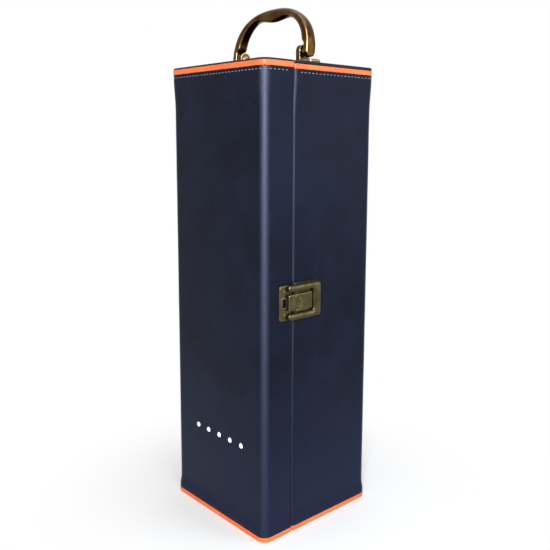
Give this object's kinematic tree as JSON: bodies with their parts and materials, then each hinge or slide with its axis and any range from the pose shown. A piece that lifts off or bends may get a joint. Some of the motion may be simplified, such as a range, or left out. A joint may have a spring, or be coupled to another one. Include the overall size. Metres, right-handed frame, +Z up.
{
  "type": "wine bottle box",
  "caption": "Upright leather-covered box for a wine bottle, with a full-height side-hinged door, a draw latch, flocked bottle cradles and a folding bail handle.",
  "frame": {"origin": "middle of the box's foot, in the plane that it stands on", "axes": "+Z up, the door faces -Y, the latch is on the +X side and the hinges on the -X side"},
  "size_m": [0.1169, 0.1104, 0.3836],
  "materials": {
    "navy_leather": "fine grain, soft sheen",
    "band_leather": "smooth, satin",
    "board": "raw",
    "flock": "matte flock",
    "stud": "gloss enamel",
    "aged_brass": "aged, satin",
    "antique_bronze": "antique, polished on the edges"
  },
  "bodies": {
    "case": {"case_back_board": "board", "case_latch_side_board": "board", "case_hinge_side_board": "board", "case_top_board": "board", "case_bottom_board": "board", "case_leather_wrap": "navy_leather", "case_top_cap": "navy_leather", "case_base_cap": "navy_leather", "case_top_band": "band_leather", "case_foot_band": "band_leather", "case_lining": "flock", "bottle_cradle": "flock", "neck_cradle": "flock", "handle_bracket_left": "antique_bronze", "handle_bracket_right": "antique_bronze", "handle_pins": "antique_bronze", "handle_screws": "antique_bronze", "upper_hinge_case_leaf": "antique_bronze", "lower_hinge_case_leaf": "antique_bronze", "hinge_pins": "antique_bronze", "hinge_case_screws": "antique_bronze", "latch_frame": "aged_brass", "latch_frame_nails": "aged_brass", "latch_lever_pins": "aged_brass"},
    "door": {"door_front_board": "board", "door_latch_side_board": "board", "door_hinge_side_board": "board", "door_top_board": "board", "door_bottom_board": "board", "door_leather_wrap": "navy_leather", "door_top_cap": "navy_leather", "door_base_cap": "navy_leather", "door_top_band": "band_leather", "door_foot_band": "band_leather", "door_lining": "flock", "door_studs": "stud", "upper_hinge_door_leaf": "antique_bronze", "lower_hinge_door_leaf": "antique_bronze", "hinge_door_screws": "antique_bronze", "strike_plate": "aged_brass", "strike_nails": "aged_brass"},
    "handle": {"handle": "antique_bronze"},
    "latch_lever": {"latch_lever": "aged_brass", "latch_hook_pin": "aged_brass"},
    "latch_hook": {"latch_hook": "aged_brass"}
  },
  "joints": [
    {"name": "door_hinge", "type": "hinge", "parent": "case", "child": "door", "pos_m": [-0.0562, -0.0275, 0], "axis": [0, 0, -1], "range_deg": [0, 180]},
    {"name": "handle_pivot", "type": "hinge", "parent": "case", "child": "handle", "pos_m": [0, 0, 0.3495], "axis": [1, 0, 0], "range_deg": [-92.3, 103.7]},
    {"name": "latch_lever_hinge", "type": "hinge", "parent": "case", "child": "latch_lever", "pos_m": [0.0571, -0.0269, 0.1737], "axis": [0, 0, -1], "range_deg": [0, 120]},
    {"name": "latch_hook_hinge", "type": "hinge", "parent": "latch_lever", "child": "latch_hook", "pos_m": [0.057, -0.0231, 0.1737], "axis": [0, 0, -1], "range_deg": [-120, 0]}
  ],
  "couplings": [
    {"joint": "latch_hook_hinge", "follows": "latch_lever_hinge", "ratio": -1}
  ]
}
